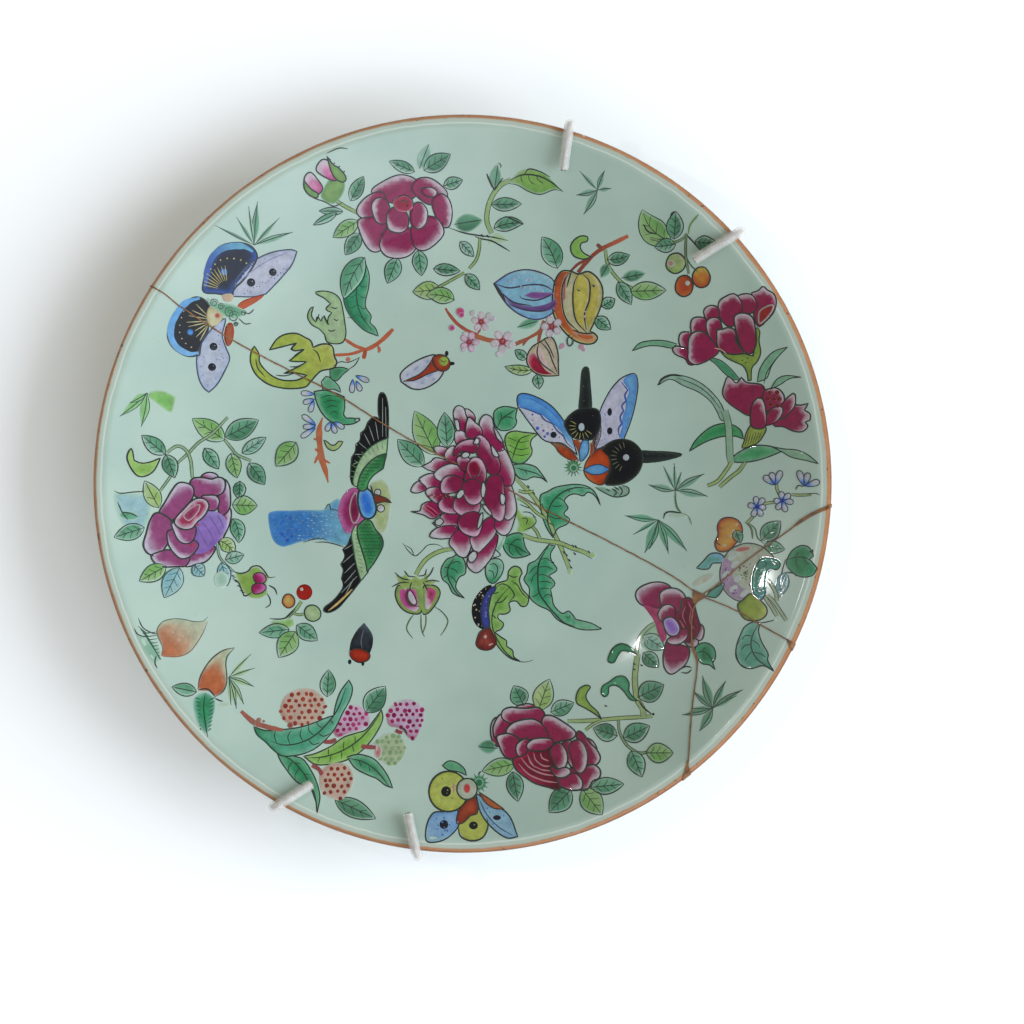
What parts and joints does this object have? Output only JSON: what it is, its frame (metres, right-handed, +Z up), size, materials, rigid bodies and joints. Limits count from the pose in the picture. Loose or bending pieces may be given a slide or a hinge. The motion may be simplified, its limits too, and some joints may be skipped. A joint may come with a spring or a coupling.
{
  "type": "broken plate in pieces",
  "caption": "Shallow round porcelain plate broken into shards and glued together again, painted with flowers, with a spring wire hanger clipped over its rim.",
  "frame": {"origin": "on the plate's axis, on the surface that the hanger's wires rest on under the foot ring", "axes": "+Z up out of the painted face, +Y towards the painting's top edge, +X to its right"},
  "size_m": [0.245, 0.2477, 0.0341],
  "materials": {
    "glazed_porcelain": "gloss",
    "old_glue": "satin",
    "spring_wire": "satin",
    "vinyl_sleeve": "gloss"
  },
  "bodies": {
    "root": {"shard_upper": "glazed_porcelain", "shard_lower": "glazed_porcelain", "shard_right": "glazed_porcelain", "shard_lower_right": "glazed_porcelain", "glue_film_long": "old_glue", "glue_film_right": "old_glue", "glue_film_lower_right": "old_glue", "glue_film_down": "old_glue", "junction_fill": "old_glue", "lower_rim_fill": "old_glue", "right_rim_fill": "old_glue", "hanger_wire_upper": "spring_wire", "hanger_wire_lower": "spring_wire", "hanger_spring_left": "spring_wire", "hanger_spring_right": "spring_wire", "hook_sleeve_upper_left": "vinyl_sleeve", "hook_sleeve_upper_right": "vinyl_sleeve", "hook_sleeve_lower_left": "vinyl_sleeve", "hook_sleeve_lower_right": "vinyl_sleeve"}
  },
  "joints": []
}
